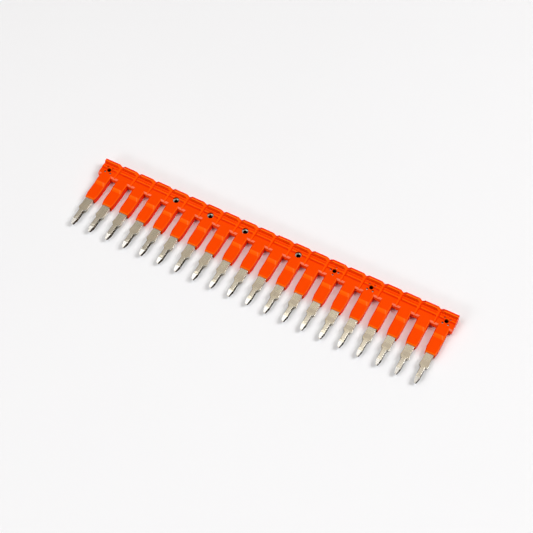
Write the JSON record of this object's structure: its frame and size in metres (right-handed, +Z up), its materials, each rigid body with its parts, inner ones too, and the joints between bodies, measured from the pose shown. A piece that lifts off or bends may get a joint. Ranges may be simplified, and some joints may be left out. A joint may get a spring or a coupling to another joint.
{
  "type": "terminal block jumper",
  "caption": "Flat comb-shaped plug-in bridge: a ribbed orange grip with a row of sleeves and plated spring prongs that links neighbouring terminal blocks.",
  "frame": {"origin": "middle of the bounding box in plan, on the flat back that the part lies on", "axes": "+X along the row of poles, +Y from the prong tips to the grip edge, +Z up out of the ribbed face"},
  "size_m": [0.1036, 0.0216, 0.0032],
  "materials": {
    "body_plastic": "semi-gloss injection-moulded orange",
    "contact_plating": "tin-plated copper alloy, bright with rolling marks"
  },
  "bodies": {
    "root": {"insulating_body": "body_plastic", "front_contact_comb": "contact_plating", "rear_contact_comb": "contact_plating"}
  },
  "joints": []
}
